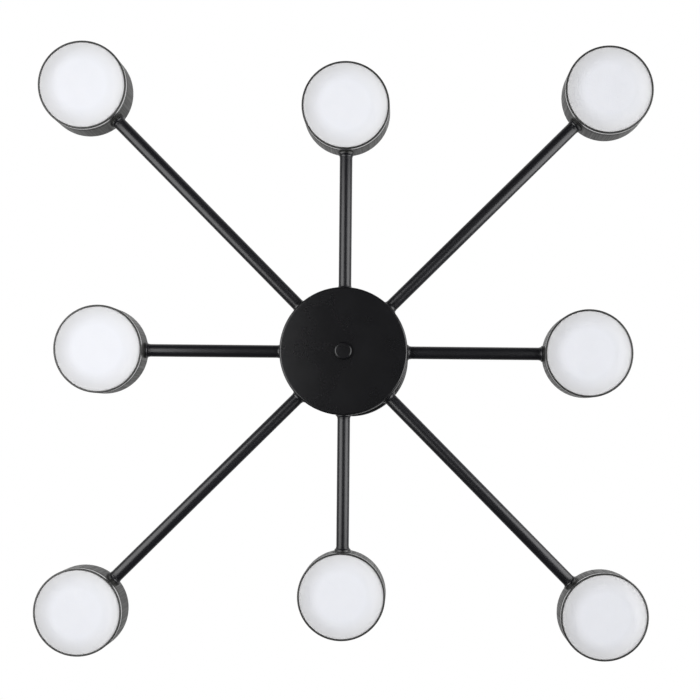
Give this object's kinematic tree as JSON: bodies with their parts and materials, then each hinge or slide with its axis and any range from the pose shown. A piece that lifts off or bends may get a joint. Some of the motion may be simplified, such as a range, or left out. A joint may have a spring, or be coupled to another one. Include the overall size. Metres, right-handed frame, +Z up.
{
  "type": "ceiling light",
  "caption": "Black semi-flush ceiling light: round hub with straight arms of two lengths, each ending in a flat drum head with an opal diffuser that turns on its arm.",
  "frame": {"origin": "centre of the two ceiling slots in the bracket, in the plane of the ceiling", "axes": "+Z up into the ceiling, the lamp hangs towards -Z; X and Y run along the short arms, the long arms lie on the diagonals"},
  "size_m": [0.6974, 0.6974, 0.196],
  "materials": {
    "black_steel": "black powder coat, fine texture, satin",
    "black_aluminium": "cast and turned aluminium under black powder coat, satin",
    "opal": "opal white acrylic, satin front",
    "zinc_steel": "bright zinc plate",
    "circuit_board": "aluminium board with white solder mask",
    "driver_plastic": "moulded white housing",
    "terminal_plastic": "moulded nylon",
    "lead_sheath": "smooth sheath"
  },
  "bodies": {
    "lamp_frame": {"ceiling_bracket": "zinc_steel", "bracket_screws": "zinc_steel", "terminal_block": "terminal_plastic", "supply_lead": "lead_sheath", "canopy": "black_steel", "canopy_nuts": "black_steel", "stem_tube": "black_steel", "stem_rod": "zinc_steel", "stem_nuts": "zinc_steel", "hub_shell": "black_steel", "hub_back_plate": "black_steel", "hub_screws": "zinc_steel", "finial": "black_steel", "led_driver": "driver_plastic", "tube_collars": "black_steel", "arm_nipples": "zinc_steel", "hub_nuts": "zinc_steel", "arm_leads": "lead_sheath", "swivel_spigots": "zinc_steel", "swivel_nuts": "zinc_steel", "arm_1": "black_steel", "arm_2": "black_steel", "arm_3": "black_steel", "arm_4": "black_steel", "arm_5": "black_steel", "arm_6": "black_steel", "arm_7": "black_steel", "arm_8": "black_steel"},
    "head_1": {"head_housing_1": "black_aluminium", "trim_ring_1": "black_aluminium", "diffuser_1": "opal", "led_board_1": "circuit_board"},
    "head_2": {"head_housing_2": "black_aluminium", "trim_ring_2": "black_aluminium", "diffuser_2": "opal", "led_board_2": "circuit_board"},
    "head_3": {"head_housing_3": "black_aluminium", "trim_ring_3": "black_aluminium", "diffuser_3": "opal", "led_board_3": "circuit_board"},
    "head_4": {"head_housing_4": "black_aluminium", "trim_ring_4": "black_aluminium", "diffuser_4": "opal", "led_board_4": "circuit_board"},
    "head_5": {"head_housing_5": "black_aluminium", "trim_ring_5": "black_aluminium", "diffuser_5": "opal", "led_board_5": "circuit_board"},
    "head_6": {"head_housing_6": "black_aluminium", "trim_ring_6": "black_aluminium", "diffuser_6": "opal", "led_board_6": "circuit_board"},
    "head_7": {"head_housing_7": "black_aluminium", "trim_ring_7": "black_aluminium", "diffuser_7": "opal", "led_board_7": "circuit_board"},
    "head_8": {"head_housing_8": "black_aluminium", "trim_ring_8": "black_aluminium", "diffuser_8": "opal", "led_board_8": "circuit_board"}
  },
  "joints": [
    {"name": "head_1_swivel", "type": "hinge", "parent": "lamp_frame", "child": "head_1", "pos_m": [0.2785, 0, -0.168], "axis": [1, 0, 0], "range_deg": [-175, 175]},
    {"name": "head_2_swivel", "type": "hinge", "parent": "lamp_frame", "child": "head_2", "pos_m": [0.29875, 0.29875, -0.168], "axis": [0.7071, 0.7071, 0], "range_deg": [-175, 175]},
    {"name": "head_3_swivel", "type": "hinge", "parent": "lamp_frame", "child": "head_3", "pos_m": [0, 0.2785, -0.168], "axis": [0, 1, 0], "range_deg": [-175, 175]},
    {"name": "head_4_swivel", "type": "hinge", "parent": "lamp_frame", "child": "head_4", "pos_m": [-0.29875, 0.29875, -0.168], "axis": [-0.7071, 0.7071, 0], "range_deg": [-175, 175]},
    {"name": "head_5_swivel", "type": "hinge", "parent": "lamp_frame", "child": "head_5", "pos_m": [-0.2785, 0, -0.168], "axis": [-1, 0, 0], "range_deg": [-175, 175]},
    {"name": "head_6_swivel", "type": "hinge", "parent": "lamp_frame", "child": "head_6", "pos_m": [-0.29875, -0.29875, -0.168], "axis": [-0.7071, -0.7071, 0], "range_deg": [-175, 175]},
    {"name": "head_7_swivel", "type": "hinge", "parent": "lamp_frame", "child": "head_7", "pos_m": [0, -0.2785, -0.168], "axis": [0, -1, 0], "range_deg": [-175, 175]},
    {"name": "head_8_swivel", "type": "hinge", "parent": "lamp_frame", "child": "head_8", "pos_m": [0.29875, -0.29875, -0.168], "axis": [0.7071, -0.7071, 0], "range_deg": [-175, 175]}
  ]
}
